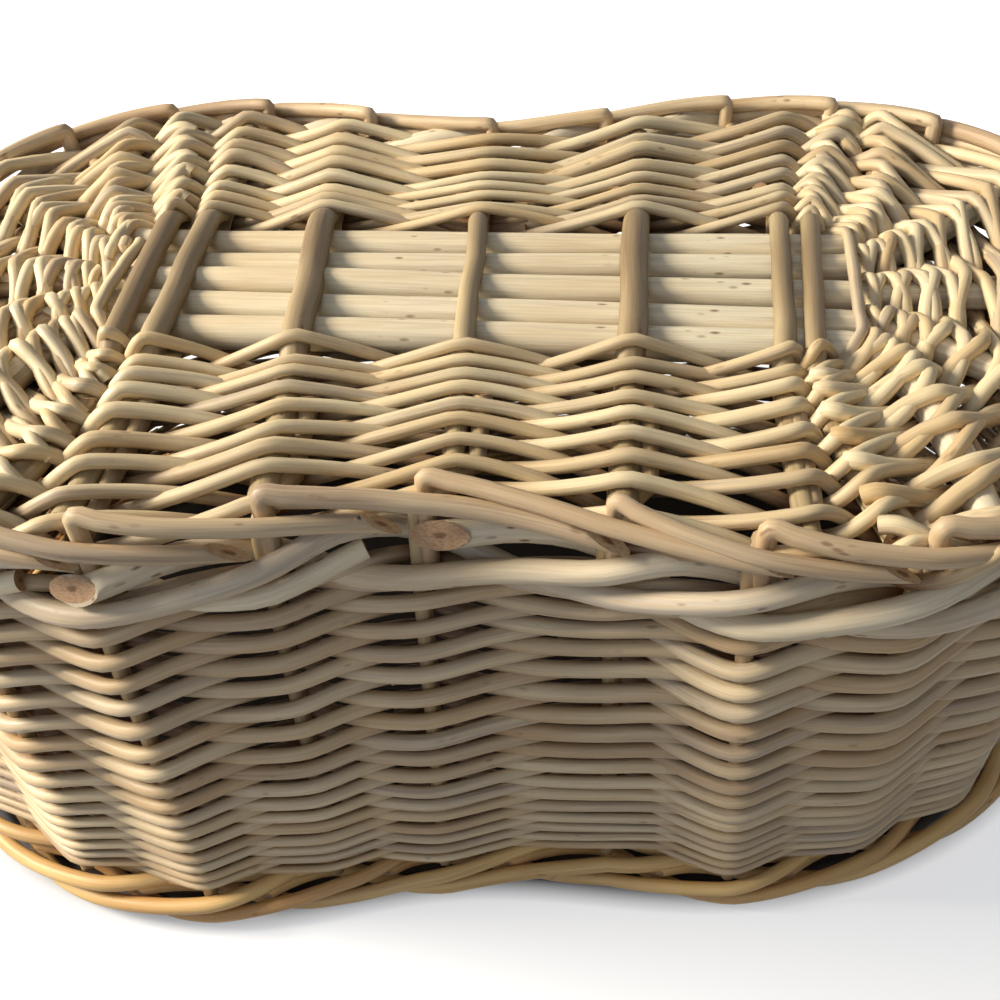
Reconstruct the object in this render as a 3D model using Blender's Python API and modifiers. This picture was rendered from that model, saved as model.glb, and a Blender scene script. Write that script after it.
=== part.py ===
"""A waisted oval willow knitting basket, standing upside down on its rim.

The base of five long sticks and seven slit cross sticks faces up, ringed by a low foot border.
Twenty-four side stakes come out of the base, turn down through the upsett and the woven wall,
and carry the three-rod border of the rim that the basket stands on.
Metres, +Z up, the origin on the ground under the middle of the basket, the long side along X.
"""
import math

import bmesh
import bpy
import numpy as np
from mathutils import Vector

# The whole basket, measured on the line that the side stakes follow
HEIGHT = 0.1680
RIM_LENGTH = 0.3740
RIM_WIDTH = 0.2250
BASE_LENGTH = 0.3400
BASE_WIDTH = 0.2120
RIM_FULLNESS = 2.50
BASE_FULLNESS = 3.25
RIM_WAIST_SHARE = 0.15
BASE_WAIST_SHARE = 0.205
WAIST_REACH_SHARE = 0.37
RIM_SKEW_SHARE = 0.035
RIM_LOBE_SHARE = -0.10

# The rods
STAKE_COUNT = 24
STAKE_DIAMETER = 0.0050
RIM_ROD_DIAMETER = 0.0048
FOOT_ROD_DIAMETER = 0.0044
UPSETT_ROD_DIAMETER = 0.0054
WEAVER_THICKNESS = 0.0035
WALL_ROWS = 17
BASE_ROWS = 9
ROW_CLOSING_SHARE = 0.28
THIN_SKIN = 0.0006
CLEARANCE = 0.0003
FLAT_CUT = 0.0005
FOOT_STANDS_OVER_WEAVE = 0.0040

# The sticks of the base
LONG_STICK_COUNT = 5
LONG_STICK_DIAMETER = 0.0096
LONG_STICK_GAP = 0.0016
CROSS_STICK_DIAMETER = 0.0080
CROSS_STICK_SPACING = 0.0450
END_PAIR_DISTANCE = 0.0850
PAIR_GAP = 0.0016
SLIT_HALF_THICKNESS = 0.0034
SLIT_CLOSING_LENGTH = 0.0080
EDGE_ROUNDING = 0.0012

# The base weave and how the stakes are let into it
STAKE_LET_IN = 0.0040
STAKE_BEND_LENGTH = 0.0050
FAN_BEND_LENGTH = 0.0240
FAN_SPREAD_SHARE = 1.30
STICK_TAPER_SHARE = 0.83

stake_radius = STAKE_DIAMETER / 2
rim_rod_radius = RIM_ROD_DIAMETER / 2
foot_rod_radius = FOOT_ROD_DIAMETER / 2
upsett_rod_radius = UPSETT_ROD_DIAMETER / 2
long_stick_radius = LONG_STICK_DIAMETER / 2
cross_stick_radius = CROSS_STICK_DIAMETER / 2

# Rods of the rim border lie in three layers under the wall: tips, outer rods, and the roll over the top
rim_layer = RIM_ROD_DIAMETER + 2 * CLEARANCE
tip_depth = rim_rod_radius + CLEARANCE
kink_depth = tip_depth + rim_layer
roll_depth = kink_depth + rim_layer
wall_low_z = roll_depth + rim_rod_radius - FLAT_CUT
rim_rod_out = stake_radius + rim_rod_radius + 2 * CLEARANCE

# Foot rods drop by one thickness from stake to stake
foot_kink_z = HEIGHT - foot_rod_radius + FLAT_CUT
foot_drop = FOOT_ROD_DIAMETER + 2 * CLEARANCE
FOOT_SPAN = 2.3
BORDER_SAMPLE_SHARES = (0.0, 0.28, 0.55, 0.9)
foot_tip_z = foot_kink_z - FOOT_SPAN * foot_drop
foot_rod_out = max(stake_radius, foot_rod_radius) + foot_rod_radius + 2 * CLEARANCE

# The upsett sits right under the tips of the foot rods, and the wall right under the upsett
UPSETT_RISE_SHARE = 1.41
upsett_rise = UPSETT_RISE_SHARE * upsett_rod_radius
upsett_out = max(stake_radius, foot_rod_radius) + upsett_rod_radius + 2 * CLEARANCE
upsett_z = foot_tip_z - foot_rod_radius - CLEARANCE - upsett_rise - upsett_rod_radius
wall_high_z = upsett_z - upsett_rise - upsett_rod_radius - CLEARANCE

# The base weave ends inside the upsett, above it nearly at the foot rods; the stakes are let in under its
# edge, up to the ends of the sticks
base_edge_inset = upsett_out + upsett_rod_radius + 3 * CLEARANCE
upper_edge_inset = foot_rod_radius + 6 * CLEARANCE
stake_inset = base_edge_inset + STAKE_LET_IN
stick_end_inset = stake_inset + 4 * CLEARANCE

# The sticks lie so that the foot rods stand a little over the weave, and a stake clears the upsett rods
wall_top_z = upsett_z + upsett_rod_radius + stake_radius + 5 * CLEARANCE
stick_half_height = max(cross_stick_radius, STICK_TAPER_SHARE * long_stick_radius)
skin_gap = stick_half_height + CLEARANCE
base_mid_z = max(wall_top_z, HEIGHT - FOOT_STANDS_OVER_WEAVE - WEAVER_THICKNESS - skin_gap)

long_stick_pitch = LONG_STICK_DIAMETER + LONG_STICK_GAP
panel_half_width = (LONG_STICK_COUNT - 1) / 2 * long_stick_pitch + long_stick_radius
outer_pair_distance = END_PAIR_DISTANCE + CROSS_STICK_DIAMETER + PAIR_GAP
weave_start_y = panel_half_width + 4 * CLEARANCE
weave_start_x = outer_pair_distance + cross_stick_radius + 2 * WEAVER_THICKNESS


def clear_scene():
    """Start from an empty file."""
    for thing in list(bpy.data.objects):
        bpy.data.objects.remove(thing)


def new_collection(name):
    made = bpy.data.collections.new(name)
    bpy.context.scene.collection.children.link(made)
    return made


def willow(name, colour, roughness):
    """A peeled willow finish for one kind of rod."""
    made = bpy.data.materials.new(name)
    made.use_nodes = True
    shader = made.node_tree.nodes["Principled BSDF"]
    shader.inputs["Base Color"].default_value = (*colour, 1.0)
    shader.inputs["Roughness"].default_value = roughness
    shader.inputs["Metallic"].default_value = 0.0
    return made


class Ring:
    """A closed waisted oval, read by the share of its length from the middle of the front, to the right."""

    def __init__(self, half_length, half_width, fullness, waist_share=0.0, skew_share=0.0, lobe_share=0.0):
        angle = np.linspace(-math.pi / 2, 3 * math.pi / 2, 1441)
        cosine = np.cos(angle)
        sine = np.sin(angle)
        x = half_length * np.sign(cosine) * np.abs(cosine) ** (2 / fullness)
        waist = 1 - waist_share * np.exp(-((x / (WAIST_REACH_SHARE * half_length)) ** 2))
        y = half_width * np.sign(sine) * np.abs(sine) ** (2 / fullness) * waist
        y = y * (1 + lobe_share * x / half_length) + skew_share * x
        self.x = x
        self.y = y
        steps = np.hypot(np.diff(x), np.diff(y))
        self.length = float(steps.sum())
        self.share = np.concatenate([[0.0], np.cumsum(steps)]) / self.length

    def at(self, turn):
        turn = turn % 1.0
        return Vector((np.interp(turn, self.share, self.x), np.interp(turn, self.share, self.y)))


rim_ring = Ring(
    RIM_LENGTH / 2, RIM_WIDTH / 2, RIM_FULLNESS, RIM_WAIST_SHARE, RIM_SKEW_SHARE, RIM_LOBE_SHARE
)
base_ring = Ring(BASE_LENGTH / 2, BASE_WIDTH / 2, BASE_FULLNESS, BASE_WAIST_SHARE)


def on_wall(turn, z):
    """The stake line at a height, between the rim and the base."""
    share = min(max(z / wall_top_z, 0.0), 1.0)
    return rim_ring.at(turn).lerp(base_ring.at(turn), share)


def place(turn, out, z):
    """A point beside the stake line: out is the distance outwards, square to the wall."""
    step = 0.002
    here = on_wall(turn, z)
    along = (on_wall(turn + step, z) - on_wall(turn - step, z)).normalized()
    return Vector((here.x + along.y * out, here.y - along.x * out, z))


def edge_point(x, side):
    """Where a straight cross stick at x ends, short of the stakes, on the front (-1) or the back (1)."""
    turns = np.linspace(0.0, 1.0, 721)
    points = [place(t, -stick_end_inset, base_mid_z) for t in turns]
    near = [p for p in points if p.y * side > 0]
    return min(near, key=lambda p: abs(p.x - x)).y


def tube(name, paths, radius, sides_level, material, collection):
    """One node of round rods, each an unbroken tube along its path; a path's points may carry a width share."""
    data = bpy.data.curves.new(name, "CURVE")
    data.dimensions = "3D"
    data.bevel_depth = radius
    data.bevel_resolution = sides_level
    data.use_fill_caps = True
    for path in paths:
        spline = data.splines.new("POLY")
        spline.points.add(len(path) - 1)
        for point, step in zip(spline.points, path):
            point.co = (step[0], step[1], step[2], 1.0)
            point.radius = step[3] if len(step) > 3 else 1.0
    made = bpy.data.objects.new(name, data)
    made.data.materials.append(material)
    collection.objects.link(made)
    return made


def as_mesh(curve_object, collection):
    """The tube as a welded mesh, so that it can be cut."""
    bpy.context.view_layer.update()
    graph = bpy.context.evaluated_depsgraph_get()
    mesh = bpy.data.meshes.new_from_object(curve_object.evaluated_get(graph))
    name = curve_object.name
    material = curve_object.data.materials[0]
    bpy.data.objects.remove(curve_object)
    work = bmesh.new()
    work.from_mesh(mesh)
    bmesh.ops.remove_doubles(work, verts=work.verts, dist=CLEARANCE / 10)
    work.to_mesh(mesh)
    work.free()
    made = bpy.data.objects.new(name, mesh)
    if not mesh.materials:
        mesh.materials.append(material)
    collection.objects.link(made)
    return made


def cut_flat(thing, z, keep_above):
    """Wear the rods flat where they stand, and close the cut."""
    work = bmesh.new()
    work.from_mesh(thing.data)
    everything = work.verts[:] + work.edges[:] + work.faces[:]
    cut = bmesh.ops.bisect_plane(
        work, geom=everything, plane_co=(0, 0, z), plane_no=(0, 0, 1),
        clear_inner=keep_above, clear_outer=not keep_above,
    )
    rim = [e for e in cut["geom_cut"] if isinstance(e, bmesh.types.BMEdge)]
    bmesh.ops.holes_fill(work, edges=rim, sides=0)
    bmesh.ops.recalc_face_normals(work, faces=work.faces)
    work.to_mesh(thing.data)
    work.free()


def shade(thing):
    thing.data.shade_smooth()
    thing.data.set_sharp_from_angle(angle=math.radians(35))


def loft(name, loops, material, collection):
    """A closed skin through a list of loops of equal count, the last joined to the first."""
    work = bmesh.new()
    rows = [[work.verts.new(point) for point in loop] for loop in loops]
    count = len(rows[0])
    for low, high in zip(rows, rows[1:] + rows[:1]):
        for i in range(count):
            j = (i + 1) % count
            work.faces.new((low[i], low[j], high[j], high[i]))
    bmesh.ops.recalc_face_normals(work, faces=work.faces)
    mesh = bpy.data.meshes.new(name)
    work.to_mesh(mesh)
    work.free()
    made = bpy.data.objects.new(name, mesh)
    mesh.materials.append(material)
    collection.objects.link(made)
    shade(made)
    return made


def long_sticks(collection):
    """Five long sticks lie side by side through the slits, and fan out at both ends."""
    material = willow("peeled_stick", (0.80, 0.69, 0.50), 0.55)
    middle = (LONG_STICK_COUNT - 1) / 2
    end_share = weave_start_x / base_ring.length
    spread = FAN_SPREAD_SHARE * (0.25 - end_share) / (middle + 1)
    for n in range(LONG_STICK_COUNT):
        row = n - middle
        y = row * long_stick_pitch
        start = weave_start_x - FAN_BEND_LENGTH / 4
        path = []
        for side in (-1, 1):
            turn = 0.25 + side * row * spread if side > 0 else 0.75 + side * row * spread
            target = place(turn, -stick_end_inset, base_mid_z)
            bend = Vector((side * (start + FAN_BEND_LENGTH), y, base_mid_z))
            straight = Vector((side * start, y, base_mid_z))
            half = [(side * END_PAIR_DISTANCE, y, base_mid_z)]
            half += [
                (*straight.lerp(bend, share).lerp(bend.lerp(target, share), share), STICK_TAPER_SHARE)
                for share in (0.0, 0.25, 0.5, 1.0)
            ]
            path = half[::-1] if side < 0 else path + half
        tube(f"base_long_stick_{n + 1}", [path], long_stick_radius, 2, material, collection)


def cross_sticks(collection):
    """Seven cross sticks, each slit open in the middle to let the long sticks through."""
    material = willow("cross_stick", (0.62, 0.50, 0.33), 0.6)
    half = cross_stick_radius
    slit = long_stick_radius + CLEARANCE
    open_height = slit + SLIT_HALF_THICKNESS
    open_y = panel_half_width + CLEARANCE
    closed_y = open_y + SLIT_CLOSING_LENGTH
    places = [-outer_pair_distance, -END_PAIR_DISTANCE, -CROSS_STICK_SPACING, 0.0]
    places += [CROSS_STICK_SPACING, END_PAIR_DISTANCE, outer_pair_distance]
    for n, x in enumerate(places):
        front = edge_point(x, -1)
        back = edge_point(x, 1)
        outline = [(front, -half), (-closed_y, -half), (-open_y, -open_height), (open_y, -open_height)]
        outline += [(closed_y, -half), (back, -half), (back, half), (closed_y, half)]
        outline += [(open_y, open_height), (-open_y, open_height), (-closed_y, half), (front, half)]
        hole = [(-open_y, -slit), (open_y, -slit), (open_y + SLIT_CLOSING_LENGTH / 2, 0)]
        hole += [(open_y, slit), (-open_y, slit), (-open_y - SLIT_CLOSING_LENGTH / 2, 0)]
        data = bpy.data.curves.new(f"base_cross_stick_{n + 1}", "CURVE")
        data.dimensions = "2D"
        data.fill_mode = "BOTH"
        data.extrude = cross_stick_radius
        for loop in (outline, hole):
            spline = data.splines.new("POLY")
            spline.points.add(len(loop) - 1)
            spline.use_cyclic_u = True
            for point, (u, v) in zip(spline.points, loop):
                point.co = (u, v, 0.0, 1.0)
        made = bpy.data.objects.new(data.name, data)
        made.rotation_euler = (math.pi / 2, 0.0, math.pi / 2)
        made.location = (x, 0.0, base_mid_z)
        data.materials.append(material)
        collection.objects.link(made)
        weld = made.modifiers.new("weld", "WELD")
        weld.merge_threshold = CLEARANCE / 10
        rounding = made.modifiers.new("rounding", "BEVEL")
        rounding.width = EDGE_ROUNDING
        rounding.segments = 1
        rounding.limit_method = "ANGLE"


def bulge(x, y):
    """How much higher the weave rides where the cross sticks are slit open."""
    over = long_stick_radius + CLEARANCE + SLIT_HALF_THICKNESS - cross_stick_radius
    across = (panel_half_width + 7 * CLEARANCE + SLIT_CLOSING_LENGTH - abs(y)) / SLIT_CLOSING_LENGTH
    along = (outer_pair_distance + LONG_STICK_DIAMETER - abs(x)) / LONG_STICK_DIAMETER + 1
    return over * min(max(across, 0.0), 1.0) * min(max(along, 0.0), 1.0)


def stick_spots(row_share, edge_inset):
    """Where the twenty-four sticks are at a share of the way from the panel to the edge, from the front middle."""
    middle = (LONG_STICK_COUNT - 1) / 2
    end_share = weave_start_x / base_ring.length
    spread = FAN_SPREAD_SHARE * (0.25 - end_share) / (middle + 1)
    right = [0.0, CROSS_STICK_SPACING, END_PAIR_DISTANCE, outer_pair_distance]
    left = [-x for x in right[:0:-1]]

    def crossing(x, side):
        edge = edge_point(x, side) + side * (stick_end_inset - edge_inset)
        return Vector((x, side * weave_start_y)).lerp(Vector((x, edge)), row_share)

    def lengthwise(row, side):
        turn = 0.5 - side * 0.25 + side * row * spread
        edge = place(turn, -edge_inset, base_mid_z).to_2d()
        return Vector((side * weave_start_x, row * long_stick_pitch)).lerp(edge, row_share)

    rows = [n - middle for n in range(LONG_STICK_COUNT)]
    spots = [crossing(x, -1) for x in right]
    spots += [lengthwise(row, 1) for row in rows]
    spots += [crossing(x, 1) for x in right[::-1] + left[::-1]]
    spots += [lengthwise(row, -1) for row in rows[::-1]]
    return spots + [crossing(x, -1) for x in left]


def base_weave(collection):
    """The twined rows above and below the sticks: each row rises over every stick and sinks between them."""
    material = willow("base_weaver", (0.74, 0.62, 0.42), 0.5)
    for name, side, edge_inset in (
        ("base_weave_upper", 1, upper_edge_inset), ("base_weave_lower", -1, base_edge_inset),
    ):
        loops = []
        plain = []
        steps = 2 * BASE_ROWS
        for step in range(steps + 1):
            sticks = stick_spots(step / steps, edge_inset)
            loop = []
            flat = []
            for here, following in zip(sticks, sticks[1:] + sticks[:1]):
                for spot, over in ((here, 1.0), (here.lerp(following, 0.5), 0.35)):
                    height = skin_gap + bulge(spot.x, spot.y)
                    rib = over * WEAVER_THICKNESS if step % 2 else THIN_SKIN
                    loop.append((spot.x, spot.y, base_mid_z + side * (height + rib)))
                    flat.append((spot.x, spot.y, base_mid_z + side * height))
            loops.append(loop)
            if step in (0, 3, 6, steps):
                plain.append(flat)
        loft(name, loops + plain[::-1], material, collection)


def side_stakes(collection):
    """Each stake is let into the edge of the base, turns down, and runs through the wall to the border."""
    material = willow("stake", (0.70, 0.57, 0.38), 0.55)
    low = wall_low_z
    middle_z = (low + base_mid_z) / 2
    for k in range(STAKE_COUNT):
        turn = k / STAKE_COUNT
        path = [
            place(turn, -stake_inset, base_mid_z),
            place(turn, -STAKE_BEND_LENGTH, base_mid_z),
            place(turn, -STAKE_BEND_LENGTH / 4, base_mid_z - STAKE_BEND_LENGTH / 4),
            place(turn, 0.0, base_mid_z - STAKE_BEND_LENGTH),
            place(turn, 0.0, middle_z),
            place(turn, 0.0, low),
        ]
        tube(f"side_stake_{k + 1:02d}", [path], stake_radius, 1, material, collection)


def row_share(step, steps):
    """How far down the wall a step lies: rows are widest at the upsett and closest at the rim."""
    share = step / steps
    return share * (1 + ROW_CLOSING_SHARE * (1 - share))


def wall_weave(collection):
    """The outside and inside of the twined wall: each row stands out over every stake and sinks between them."""
    material = willow("wall_weaver", (0.66, 0.54, 0.36), 0.5)
    near = stake_radius + CLEARANCE
    far = near + WEAVER_THICKNESS
    for name, side, rows in (("wall_weave_outer", 1, WALL_ROWS), ("wall_weave_inner", -1, 4)):
        steps = 2 * rows
        loops = []
        for step in range(steps + 1):
            z = wall_high_z - (wall_high_z - wall_low_z) * row_share(step, steps)
            over = far if step % 2 or side < 0 else near + THIN_SKIN
            between = WEAVER_THICKNESS / 2 if step % 2 or side < 0 else CLEARANCE / 2 + THIN_SKIN
            loops.append([
                place(i / (2 * STAKE_COUNT), side * (between if i % 2 else over), z)
                for i in range(2 * STAKE_COUNT)
            ])
        plain = [
            [
                place(i / (2 * STAKE_COUNT), side * (CLEARANCE / 2 if i % 2 else near), z)
                for i in range(2 * STAKE_COUNT)
            ]
            for z in np.linspace(wall_low_z, wall_high_z, 7)
        ]
        loft(name, loops + plain, material, collection)


def upsett_path(rod, first, last):
    """A rod of the three-rod wale: in front of two stakes rising to the right, then behind one."""
    path = []
    rise = upsett_rise
    out = upsett_out
    front = [(0.2, out, -0.6 * rise), (0.5, out, 0.0), (0.8, out, 0.6 * rise)]
    inward = [(0.2, out, rise), (0.5, 0.0, rise), (0.8, -out, 0.4 * rise)]
    outward = [(0.2, -out, -0.4 * rise), (0.5, 0.0, -rise), (0.8, out, -rise)]
    for k in range(STAKE_COUNT * 2):
        pattern = (front, inward, outward)[(k - rod) % 3]
        for share, offset, lift in pattern:
            if first <= k + share <= last:
                path.append(place((k + share) / STAKE_COUNT, offset, upsett_z + lift))
    return path


def upsett(collection):
    """Six thick rods, two to each strand of the wale, with their butts outside in front of a stake."""
    material = willow("thick_rod", (0.78, 0.70, 0.55), 0.45)
    half = STAKE_COUNT // 2
    for n in range(6):
        rod = n % 3
        first = rod + (n // 3) * half
        path = upsett_path(rod, first + 0.35, first + half + 0.25)
        tube(f"upsett_rod_{n + 1}", [path], upsett_rod_radius, 1, material, collection)


def section(rods, radius):
    """The outline round the rods that pass one place, as eight points of (out, z)."""
    outline = []
    for step in range(8):
        angle = math.radians(45 * step + 22.5)
        across, up = math.cos(angle), math.sin(angle)
        out, z = max(rods, key=lambda rod: rod[0] * across + rod[1] * up)
        outline.append((out + radius * across, z + radius * up))
    return outline


def border_ring(name, table, radius, direction, shift, collection, material):
    """The rods of a border as one ring: table gives each rod's run as (stakes passed, out, z)."""
    runs, outs, heights = (list(column) for column in zip(*table))
    loops = []
    for k in range(STAKE_COUNT):
        for share in BORDER_SAMPLE_SHARES:
            rods = []
            passed = share
            while passed <= runs[-1]:
                if passed >= runs[0]:
                    rods.append((np.interp(passed, runs, outs), np.interp(passed, runs, heights)))
                passed += 1
            turn = (k + direction * share) / STAKE_COUNT + shift
            loops.append([place(turn, out, z) for out, z in section(rods, radius)])
    if direction < 0:
        loops = [loop for k in range(STAKE_COUNT) for loop in reversed(
            loops[k * len(BORDER_SAMPLE_SHARES):(k + 1) * len(BORDER_SAMPLE_SHARES)])]
    return loft(name, loops, material, collection)


def foot_border(collection, cutters):
    """Each foot rod stands beside a stake, turns right at the top, passes two more and ends outside."""
    material = willow("foot_rod", (0.64, 0.52, 0.34), 0.55)
    beside = (stake_radius + foot_rod_radius + 2 * CLEARANCE) / base_ring.length
    top = foot_kink_z
    out = foot_rod_out
    table = [(0.0, 0.0, top), (0.5, 0.7 * out, top - 0.5 * foot_drop), (1.0, out, top - foot_drop)]
    table += [(FOOT_SPAN, out, foot_tip_z)]
    ring = border_ring("foot_border", table, foot_rod_radius, 1, -beside, collection, material)
    posts = [
        [place(k / STAKE_COUNT - beside, 0.0, z) for z in (upsett_z - upsett_rise, top)]
        for k in range(STAKE_COUNT)
    ]
    posts = as_mesh(tube("foot_posts", posts, foot_rod_radius, 1, material, cutters), cutters)
    posts.hide_render = True
    posts.display_type = "WIRE"
    join = ring.modifiers.new("posts", "BOOLEAN")
    join.operation = "UNION"
    join.object = posts
    cut_flat(ring, HEIGHT, keep_above=False)
    shade(ring)


def rim_border(collection):
    """Each rod turns left behind one stake, rolls over the top, passes in front of two and ends outside."""
    material = willow("rim_rod", (0.80, 0.65, 0.40), 0.5)
    out = rim_rod_out
    steps = (
        (0.0, 0.0, kink_depth), (0.5, -0.6, kink_depth), (1.0, -1.0, kink_depth),
        (1.25, -0.85, roll_depth), (1.6, 0.2, roll_depth), (2.0, 1.0, kink_depth),
        (2.7, 1.0, kink_depth - 0.55 * rim_layer), (3.0, 1.0, tip_depth), (3.3, 1.15, tip_depth),
    )
    table = [(passed, share * out, wall_low_z - depth) for passed, share, depth in steps]
    ring = border_ring("rim_border", table, rim_rod_radius, -1, 0.0, collection, material)
    cut_flat(ring, 0.0, keep_above=True)
    shade(ring)


def stand_over_origin(basket):
    """Moves everything level, cutters too, so that the middle of the basket's box is over the origin."""
    depsgraph = bpy.context.evaluated_depsgraph_get()
    points = [
        part.matrix_world @ vertex.co
        for part in basket.objects
        for vertex in part.evaluated_get(depsgraph).to_mesh().vertices
    ]
    for axis in (0, 1):
        reach = [point[axis] for point in points]
        middle = (min(reach) + max(reach)) / 2
        print(f"moved by {-middle * 1000:.2f} mm along {'XY'[axis]}")
        for thing in bpy.data.objects:
            thing.location[axis] -= middle


def main():
    clear_scene()
    basket = new_collection("knitting_basket")
    long_sticks(basket)
    cross_sticks(basket)
    base_weave(basket)
    side_stakes(basket)
    wall_weave(basket)
    upsett(basket)
    foot_border(basket, new_collection("cutters"))
    rim_border(basket)
    stand_over_origin(basket)
    print(f"stake spacing at the base {base_ring.length / STAKE_COUNT * 1000:.1f} mm")


main()
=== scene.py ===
"""The looks of the waisted willow knitting basket, which stands upside down on its rim.

Metres, +Z up through the base, the long side along X, the photographed side towards -Y.
The rods are followed one by one: sticks, base weave, stakes, upsett, wall, foot border, rim border.
"""
import math

import bpy
import numpy as np
from mathutils import Matrix, Vector


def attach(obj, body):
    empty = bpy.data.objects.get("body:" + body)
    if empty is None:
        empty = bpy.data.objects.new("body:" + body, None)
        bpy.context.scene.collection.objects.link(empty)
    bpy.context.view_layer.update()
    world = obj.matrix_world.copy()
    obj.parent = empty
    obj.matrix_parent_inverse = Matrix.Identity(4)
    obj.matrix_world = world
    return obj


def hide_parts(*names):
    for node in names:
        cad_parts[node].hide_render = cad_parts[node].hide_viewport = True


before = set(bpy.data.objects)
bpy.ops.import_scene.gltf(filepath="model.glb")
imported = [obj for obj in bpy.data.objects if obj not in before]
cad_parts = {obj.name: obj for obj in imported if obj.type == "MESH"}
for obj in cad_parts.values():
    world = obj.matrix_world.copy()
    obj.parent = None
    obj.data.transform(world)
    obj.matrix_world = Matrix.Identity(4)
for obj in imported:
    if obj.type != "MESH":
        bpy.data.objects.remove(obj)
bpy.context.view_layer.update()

# The five long sticks of the base: straight peeled willow, 9 to 10 mm thick, lying side by side.
# They run through the slits of the cross sticks, are pared thinner at both ends and fan out there.
# Every rod of the basket is laid out with the helpers of this first section.
STAKE_COUNT = 24
RIGHT_END_STAKE = 6
LEFT_END_STAKE = 18
WALL_TOP_Z = 0.1525
BASE_MID_Z = 0.1562
SETBACK = 0.00267
PANEL_HALF_WIDTH = 0.0275
PANEL_HALF_LENGTH = 0.0995
EDGE_INSET = 0.0065
FAN_BEND = 0.018
FAN_SPREAD = 1.25
# The long sticks are pared from this far out, over this length, to this share of their thickness, which
# is reached at a share of the way from the panel to the edge of the base
PARED_FROM = 0.098
PARED_LENGTH = 0.03
LONG_TAPER = 0.80
PARED_SHARE = 0.3
END_POINTS = 12
MIDDLE_POINTS = 24
# Each long stick: how far back it lies at its left and right end, its thickness, and its lift at the left
LONG_STICKS = (
    (-0.0184, -0.0240, 0.0094, 0.0), (-0.0068, -0.0144, 0.0092, 0.0), (0.0032, -0.0016, 0.0096, 0.0014),
    (0.0126, 0.0117, 0.0086, -0.0004), (0.0243, 0.0212, 0.0090, 0.0),
)
# Where the lift is highest and how far it reaches, as shares of half the panel's length
LIFT_MIDDLE = -0.5
LIFT_REACH = 0.45
rng = np.random.default_rng(41)


class Ring:
    """A waisted oval, read by the share of its length from the middle of the front, to the right."""

    WAIST_REACH = 0.37

    def __init__(self, length, width, fullness, waist, skew=0.0, lobe=0.0):
        angle = np.linspace(-math.pi / 2, 3 * math.pi / 2, 1441)
        cosine, sine = np.cos(angle), np.sin(angle)
        self.x = length / 2 * np.sign(cosine) * np.abs(cosine) ** (2 / fullness)
        across = self.x / (length / 2)
        narrow = 1 - waist * np.exp(-((across / self.WAIST_REACH) ** 2))
        self.y = width / 2 * np.sign(sine) * np.abs(sine) ** (2 / fullness) * narrow
        self.y = self.y * (1 + lobe * across) + skew * self.x
        steps = np.hypot(np.diff(self.x), np.diff(self.y))
        self.length = steps.sum()
        self.share = np.concatenate([[0.0], np.cumsum(steps)]) / self.length

    def at(self, turn):
        turn = np.mod(turn, 1.0)
        return np.stack([np.interp(turn, self.share, self.x), np.interp(turn, self.share, self.y)], -1)


rim_ring = Ring(0.374, 0.225, 2.5, 0.15, 0.035, -0.10)
base_ring = Ring(0.340, 0.212, 3.25, 0.205)

# How far each stake stands off its even place, in stakes, where it leaves the base and at the rim
DRIFT_STAKES = (-3, -2, -1, 0, 1, 2, 3, 4, 5, 8, 9, 10, 11, 12, 13, 14, 15, 16, 17, 19)
DRIFT_HIGH = (-0.1, -0.14, -0.08, -0.16, -0.03, -0.2, -0.28, -0.3, -0.1, 0.28, 0.12, -0.03, 0.0, -0.05,
              0.03, -0.03, -0.2, -0.3, -0.25, 0.0)
DRIFT_LOW = (0.0, 0.02, -0.04, -0.23, 0.0, -0.1, -0.13, -0.25, -0.1, 0.2, 0.1, 0.0, 0.05, 0.0,
             0.0, 0.0, -0.1, -0.2, -0.15, 0.0)
# How far the wall stands out at each stake of the front, and in at the waist, between base and rim
BULGE_STAKES = (-3, -2, -1, 0, 1, 2, 3, 8, 12, 13, 14, 18)
BULGE = (0.0, 0.0015, -0.0010, 0.0015, -0.0060, 0.0020, 0.0, 0.0010, -0.0012, 0.0010, -0.0008, 0.0)
BULGE_HEIGHTS = (0.0, 0.020, 0.115, 0.145)
BULGE_SHARES = (0.5, 1.0, 1.0, 0.0)
# Half the stretch over which the wall's direction is read, in turns
BESIDE = 0.004


def turn_of(stakes, z):
    """Turns round the basket for a run counted in stakes, at a height."""
    high = np.interp(stakes, DRIFT_STAKES, DRIFT_HIGH, period=STAKE_COUNT)
    low = np.interp(stakes, DRIFT_STAKES, DRIFT_LOW, period=STAKE_COUNT)
    share = np.clip(z / WALL_TOP_Z, 0, 1)
    return (stakes + low + (high - low) * share) / STAKE_COUNT


def place(stakes, out, z):
    """Points beside the stake line: out is the distance outwards, square to the wall."""
    stakes, out, z = np.broadcast_arrays(*(np.asarray(value, float) for value in (stakes, out, z)))
    turn = turn_of(stakes, z)
    bulge = np.interp(stakes, BULGE_STAKES, BULGE, period=STAKE_COUNT)
    out = out + bulge * np.interp(z, BULGE_HEIGHTS, BULGE_SHARES)

    def on_wall(at):
        share = np.clip(z / WALL_TOP_Z, 0, 1)[..., None]
        return rim_ring.at(at) * (1 - share) + base_ring.at(at) * share

    along = on_wall(turn + BESIDE) - on_wall(turn - BESIDE)
    along /= np.linalg.norm(along, axis=-1, keepdims=True)
    here = on_wall(turn)
    return np.stack([here[..., 0] + along[..., 1] * out, here[..., 1] - along[..., 0] * out + SETBACK, z], -1)


def wander(count, size, reach):
    """A slow random drift: count values, about size large, each hump some reach values long."""
    knots = rng.normal(0.0, size, max(2, int(count / reach) + 3))
    return np.interp(np.linspace(0, len(knots) - 1.001, count), np.arange(len(knots)), knots)


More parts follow.
